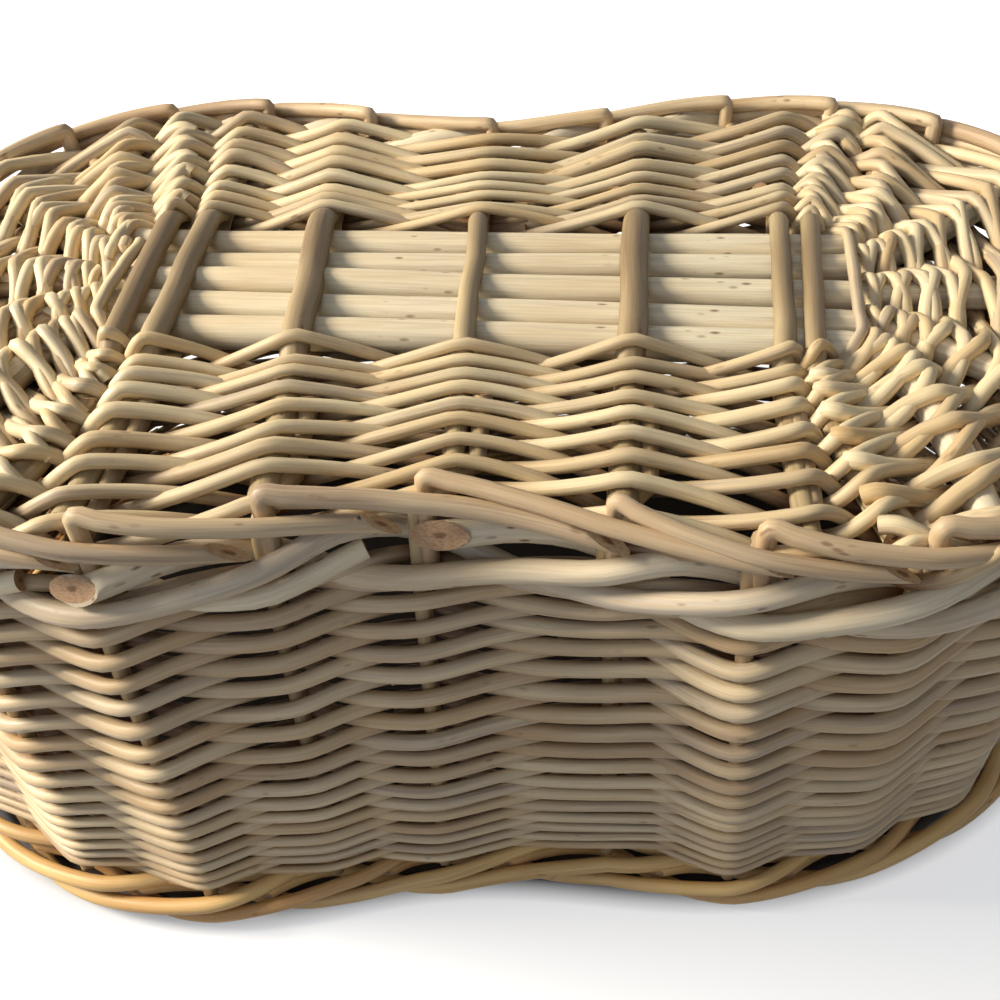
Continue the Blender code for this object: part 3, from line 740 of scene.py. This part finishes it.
# The wall weavers: thin rods twined in pairs round the stakes, from the upsett down to the rim.
# Seventeen rows, thicker and wider apart at the upsett, finer and beaten close together at the rim.
ROW_HEIGHTS = (0.1375, 0.1295, 0.1210, 0.1125, 0.1040, 0.0945, 0.0853, 0.0765, 0.0683, 0.0605, 0.0530,
               0.0462, 0.0400, 0.0341, 0.0284, 0.0232, 0.0184)
WALL_FILL = 0.275
WALL_THICK = 0.00235
WALL_THIN = 0.00135
WALL_SLANT = 0.33
STEP_STAKE = 15.0
STEP_LENGTH = 3


def row_of(stakes, start):
    """Which row a strand is in: level rows, with the step to the next one on the back."""
    rounds, part = np.divmod(stakes - start, STAKE_COUNT)
    step = np.clip((part - (STAKE_COUNT - STEP_LENGTH)) / STEP_LENGTH, 0, 1)
    return rounds + step * step * (3 - 2 * step)


def wall_strand(strand):
    """One of the two strands of the wall, as rods of natural length."""
    paths, radii, painted_shade = [], [], []
    rows = len(ROW_HEIGHTS)
    start = STEP_STAKE
    finish = start + rows * STAKE_COUNT - STEP_LENGTH
    heights = np.array(ROW_HEIGHTS)
    pitches = -np.gradient(heights)
    for first, last in rod_ends(start + strand, finish):
        count = int((last - first + ROD_LEAD + ROD_TAIL) * SAMPLES) + 1
        stakes = np.linspace(first - ROD_LEAD, last + ROD_TAIL, count)
        row = np.clip(row_of(stakes, start), 0, rows - 1)
        z = np.interp(row, np.arange(rows), heights) + wander(count, 0.00035, 14)
        pitch = np.interp(row, np.arange(rows), pitches)
        radius = np.clip(WALL_FILL * pitch, WALL_THIN, WALL_THICK) * tapered(count, thick=1.06, thin=0.92)
        swing = STAKE_RADIUS + radius.mean() + CLEARANCE
        whole = np.floor(stakes)
        part = (stakes - whole)[:, None]
        side = 1 - 2 * np.mod(whole + strand, 2)
        path = place(whole, side * swing, z) * (1 - part) + place(whole + 1, -side * swing, z) * part
        path[:, 2] += WALL_SLANT * pitch * np.sin(math.pi * (stakes + strand))
        for _ in range(2):
            path[1:-1] = path[:-2] * SOFTEN[0] + path[1:-1] * SOFTEN[1] + path[2:] * SOFTEN[2]
        paths.append(path)
        radii.append(radius)
        # Painted shade: a strand is darkened where it runs behind a stake, facing into the basket.
        painted_shade.append(np.clip(0.1 - side * (1 - 2 * part[:, 0]), 0, 1))
    return paths, radii, painted_shade


wall_finish = willow(
    "wall_weaver", colour(226, 206, 168), colour(190, 160, 118), colour(170, 158, 146),
    stain=0.45, speckle=0.5)
paths, radii, painted_shade = (one + other for one, other in zip(wall_strand(0), wall_strand(1)))
piece = rods("wall_weavers", paths, radii, (wall_finish, weaver_cut), painted_shade=painted_shade)
settle(piece, "wall_weaver", "wall_weave_outer", "wall_weave_inner")

# The foot border: twenty-four brownish rods stand beside the stakes and are bent over to the right.
# Each passes outside the next two and ends in a long slanted cut against the one after them.
FOOT_RADIUS = 0.0023
FOOT_KINK_Z = 0.1660
FOOT_DROP = 0.0046
FOOT_OUT = 0.0052
FOOT_FAR_LOWER = 0.0024
FOOT_FAR_FROM = 0.35
FOOT_LOW_Z = 0.139
FOOT_ASIDE = 0.06
FOOT_POINTS = 22
FOOT_CUT_SLOPE = 2.2
WIDTH_VARIES = 0.06
# The rods at the sides and behind pass this many stakes, or up to so many more
FOOT_SPAN = 2.1
FOOT_SPAN_VARIES = 0.4
# The bend over the edge, point by point: stakes to the right, metres below the highest place
CORNER_ASIDE = np.array([0.062, 0.075, 0.11])
CORNER_DROP = np.array([0.0012, 0.0004, 0.0004])
CORNER_OUT = 0.0002
# How far outwards a laid rod has come, as a share of FOOT_OUT, by the stakes that it has passed
LAID_STAKES = (0.0, 0.5, 1.0, 3.0)
LAID_OUT = (0.0, 0.62, 1.0, 1.0)
# The rods in front: how many stakes each passes, and how far it drops from one stake to the next
FOOT_RUNS = {
    -4: (2.05, 0.0049), -3: (1.95, 0.0064), -2: (1.93, 0.0054), -1: (2.22, 0.0037), 0: (2.24, 0.0031),
    1: (1.95, 0.0046),
}

foot_finish = willow(
    "foot_rod", colour(222, 200, 162), colour(182, 152, 118), colour(160, 146, 128),
    stain=0.55, speckle=0.7)
paths, cuts = [], []
for k in range(-4, STAKE_COUNT - 4):
    span, drop = FOOT_RUNS.get(k, (FOOT_SPAN + FOOT_SPAN_VARIES * rng.random(), FOOT_DROP))
    far = np.clip(FOOT_FAR_FROM - math.cos(2 * math.pi * k / STAKE_COUNT), 0, 1)
    kink_z = FOOT_KINK_Z - FOOT_FAR_LOWER * far
    heights = np.linspace(FOOT_LOW_Z, kink_z - 0.0022, 8)
    upright = place(k + FOOT_ASIDE, np.linspace(0.001, 0.0, 8), heights)
    corner = place(k + CORNER_ASIDE, CORNER_OUT, kink_z - CORNER_DROP)
    passed = np.linspace(0.2, span, FOOT_POINTS)
    out = FOOT_OUT * np.interp(passed, LAID_STAKES, LAID_OUT)
    laid = place(k + passed, out, kink_z - drop * passed)
    facing = laid[-1] * (1, 1, 0) - laid[-5] * (1, 1, 0) + (0, 0, 0.02)
    cuts.append((len(paths), "last", facing, FOOT_CUT_SLOPE))
    paths.append(np.vstack([upright, corner, laid]))
widths = [FOOT_RADIUS * (1 + WIDTH_VARIES * rng.normal()) for path in paths]
piece = rods("foot_rods", paths, widths, (foot_finish, weaver_cut), sides=12, cuts=cuts)
settle(piece, "foot_rod", "foot_border")

# The rim border: each stake is bent down to the left behind one stake, comes out under the wall,
# passes in front of two, rolls over the edge that the basket stands on and is trimmed outside.
RIM_RADIUS = 0.0022
RIM_OUT = 0.0054
RIM_SPACING = 0.09
# Each rod is trimmed this many stakes on, give or take a little
RIM_TRIM = 4.62
RIM_TRIM_VARIES = 0.14
RIM_CUT_SLOPE = 1.3
# The way of one rod: stakes passed, share of RIM_OUT outwards, height
RIM_STEPS = np.array([
    (0.0, 0.0, 0.0180), (0.25, -0.35, 0.0125), (0.6, -0.85, 0.0105), (1.0, -1.0, 0.0108), (1.3, -0.6, 0.0122),
    (1.55, 0.25, 0.0130), (1.8, 0.85, 0.0126), (2.0, 1.0, 0.0116), (2.4, 1.05, 0.0088), (2.75, 1.05, 0.0062),
    (3.0, 0.98, 0.0046), (3.3, 0.65, 0.0030), (3.6, -0.1, 0.0025), (3.85, -0.75, 0.0032), (4.1, -0.9, 0.0058),
    (4.35, -0.45, 0.0082), (4.55, 0.2, 0.0092), (4.78, 0.85, 0.0092),
])

rim_finish = willow(
    "rim_rod", colour(228, 192, 128), colour(184, 134, 76), colour(190, 158, 112),
    stain=0.5, speckle=0.6)
paths, cuts = [], []
for k in range(STAKE_COUNT):
    end = RIM_TRIM + RIM_TRIM_VARIES * rng.random()
    passed = np.concatenate([np.arange(0.0, end, RIM_SPACING), [end]])
    out = np.interp(passed, RIM_STEPS[:, 0], RIM_STEPS[:, 1])
    z = np.interp(passed, RIM_STEPS[:, 0], RIM_STEPS[:, 2])
    out[1:-1] = np.convolve(out, SOFTEN, "valid")
    z[1:-1] = np.convolve(z, SOFTEN, "valid")
    path = place(k - passed, out * RIM_OUT, z + wander(len(passed), 0.0002, 6))
    path[:, 2] = np.maximum(path[:, 2], RIM_RADIUS)
    outward = place(k - end, 0.01, 0.01) - place(k - end, 0.0, 0.01)
    cuts.append((k, "last", outward, RIM_CUT_SLOPE))
    paths.append(path)
widths = [RIM_RADIUS * (1 + WIDTH_VARIES * rng.normal()) for path in paths]
piece = rods("rim_rods", paths, widths, (rim_finish, butt_cut), sides=12, cuts=cuts)
settle(piece, "rim_rod", "rim_border")

# The studio: a white floor with painted shade under the basket, a warm lamp at the left and a pale sky.
# The floor and the sky show white to the eye, and light the basket far less than that.
FLOOR_HALF = 4.0
FLOOR_Z = -0.0003
# The basket's outline on the floor: half length and width, waist, its narrower right end and its skew
FOOTPRINT_HALF = (0.193, 0.1165)
FOOTPRINT_WAIST = 0.15
FOOTPRINT_WAIST_FADE = -7.3
FOOTPRINT_LOBE = 0.10
FOOTPRINT_SKEW = 0.035
FOOTPRINT_FULLNESS = 2.5
# How far behind the middle the painted shade on the floor still shows past the far wall, and by what share of
# the outline
BEHIND_Y = 0.06
BEHIND_SHARE = 0.15
# Where the painted shade on the floor ends and the white floor begins, as shares of the outline
PAINTED_SHADE_EDGE = (0.93, 1.0)
WHITE_EDGE = (0.95, 1.03)
# The floor's own white begins lower, to keep the shadow, and is full this far from the basket's middle
SHADOW_REACH = (0.20, 0.36)
SHADOW_WHITE = 0.60
WHITE = (1.0, 1.0, 1.0, 1.0)
SKY_TINT = (0.82, 0.88, 1.0, 1.0)
SKY_LEFT = 0.38
SKY_RIGHT = 0.06


def shown(nodes):
    """1 where the surface is looked at, also in gloss or through glass, and 0 where it only gives light."""
    rays = nodes.node("LightPath").node
    seen = nodes.maths("MAXIMUM", rays.outputs["Is Camera Ray"], rays.outputs["Is Glossy Ray"])
    return nodes.maths("MAXIMUM", seen, rays.outputs["Is Transmission Ray"])


bpy.ops.object.select_all(action="DESELECT")
bpy.ops.mesh.primitive_plane_add(size=2 * FLOOR_HALF, location=(0, 0, FLOOR_Z))
floor = bpy.context.object
floor.name = "studio_floor"
bpy.ops.object.transform_apply(location=True, rotation=True, scale=True)
ground = Finish("floor_white_and_painted_shade")
spot = ground.node("TexCoord", output=3)
at = ground.node("SeparateXYZ", {0: spot}).node
across = ground.maths("DIVIDE", at.outputs[0], FOOTPRINT_HALF[0])
fade = ground.maths("MULTIPLY", ground.maths("POWER", across, 2.0), FOOTPRINT_WAIST_FADE)
waist = ground.maths("MULTIPLY", ground.maths("EXPONENT", fade), FOOTPRINT_WAIST)
lobe = ground.maths("SUBTRACT", 1.0, ground.maths("MULTIPLY", across, FOOTPRINT_LOBE))
narrow = ground.maths("MULTIPLY", ground.maths("SUBTRACT", 1.0, waist), lobe)
level = ground.maths("SUBTRACT", at.outputs[1], ground.maths("MULTIPLY", at.outputs[0], FOOTPRINT_SKEW))
along = ground.maths("DIVIDE", level, ground.maths("MULTIPLY", narrow, FOOTPRINT_HALF[1]))
sizes = [ground.maths("ABSOLUTE", part) for part in (across, along)]
powers = [ground.maths("POWER", part, FOOTPRINT_FULLNESS) for part in sizes]
outside = ground.maths("POWER", ground.maths("ADD", *powers), 1 / FOOTPRINT_FULLNESS)
outside = ground.maths("SUBTRACT", outside, ground.spread(level, 0.0, BEHIND_Y, 0.0, BEHIND_SHARE))
seen = shown(ground)
surface = ground.blend(seen, colour(112, 108, 104), colour(176, 178, 182))
# Painted shade: a dark brown patch on the floor under the basket, seen through its gaps.
surface = ground.blend(ground.spread(outside, *PAINTED_SHADE_EDGE), colour(34, 26, 20), surface)
ground.feed(ground.shader.inputs["Base Color"], surface)
ground.shader.inputs["Roughness"].default_value = 0.9
away = ground.node("VectorMath", {0: spot}, output=1, operation="LENGTH")
glow = ground.spread(away, *SHADOW_REACH, SHADOW_WHITE, 1.0)
glow = ground.maths("MULTIPLY", glow, ground.spread(outside, *WHITE_EDGE))
glow = ground.maths("MULTIPLY", glow, seen)
ground.shader.inputs["Emission Color"].default_value = WHITE
ground.feed(ground.shader.inputs["Emission Strength"], glow)
floor.data.materials.append(ground.material)


def lamp(name, place_at, size, power, tint):
    """A square studio lamp that faces the middle of the basket."""
    data = bpy.data.lights.new(name, "AREA")
    data.size = size
    data.energy = power
    data.color = tint
    made = bpy.data.objects.new(name, data)
    bpy.context.scene.collection.objects.link(made)
    made.location = place_at
    aim = Vector((0, 0, 0.1)) - Vector(place_at)
    made.rotation_euler = aim.to_track_quat("-Z", "Y").to_euler()


lamp("key_lamp", place_at=(-1.30, -0.02, 0.86), size=0.40, power=41.0, tint=(1.0, 0.90, 0.74))
lamp("front_lamp", place_at=(-0.75, -1.35, 1.0), size=1.2, power=5.2, tint=(0.76, 0.86, 1.0))

world = bpy.data.worlds.new("studio")
bpy.context.scene.world = world
world.use_nodes = True
world.node_tree.nodes.clear()
sky = Nodes(world.node_tree)
sideways = sky.node("SeparateXYZ", {0: sky.node("TexCoord")})
sky_level = sky.spread(sideways, -1.0, 1.0, SKY_LEFT, SKY_RIGHT)
fill = sky.node("Background", {"Color": SKY_TINT, "Strength": sky_level})
white = sky.node("Background", {"Color": WHITE, "Strength": 1.0})
both = sky.node("MixShader", {0: shown(sky), 1: fill, 2: white})
sky.feed(sky.tree.nodes.new("ShaderNodeOutputWorld").inputs["Surface"], both)

# The camera, at the height and angle from which the photograph was taken.
# FOCAL_SHARE is its focal length as a share of the sensor's width.
CAMERA_PLACE = (0.0347, -0.2724 + SETBACK, 0.3485)
CAMERA_PITCH = math.radians(45.12)
CAMERA_YAW = math.radians(6.44)
CAMERA_ROLL = math.radians(3.49)
FOCAL_SHARE = 1.1708
SENSOR_WIDTH = 36.0

forward = Vector((-math.sin(CAMERA_YAW) * math.cos(CAMERA_PITCH),
                  math.cos(CAMERA_YAW) * math.cos(CAMERA_PITCH), -math.sin(CAMERA_PITCH)))
right = Vector((math.cos(CAMERA_YAW), math.sin(CAMERA_YAW), 0.0))
down = forward.cross(right)
rolled_right = math.cos(CAMERA_ROLL) * right + math.sin(CAMERA_ROLL) * down
rolled_down = -math.sin(CAMERA_ROLL) * right + math.cos(CAMERA_ROLL) * down
data = bpy.data.cameras.new("camera")
data.sensor_width = SENSOR_WIDTH
data.sensor_fit = "HORIZONTAL"
data.lens = SENSOR_WIDTH * FOCAL_SHARE
data.clip_start = 0.01
camera = bpy.data.objects.new("camera", data)
bpy.context.scene.collection.objects.link(camera)
camera.matrix_world = Matrix.Translation(CAMERA_PLACE) @ Matrix(
    (rolled_right, -rolled_down, -forward)).transposed().to_4x4()
bpy.context.scene.camera = camera

bpy.context.scene.view_settings.view_transform = "Standard"
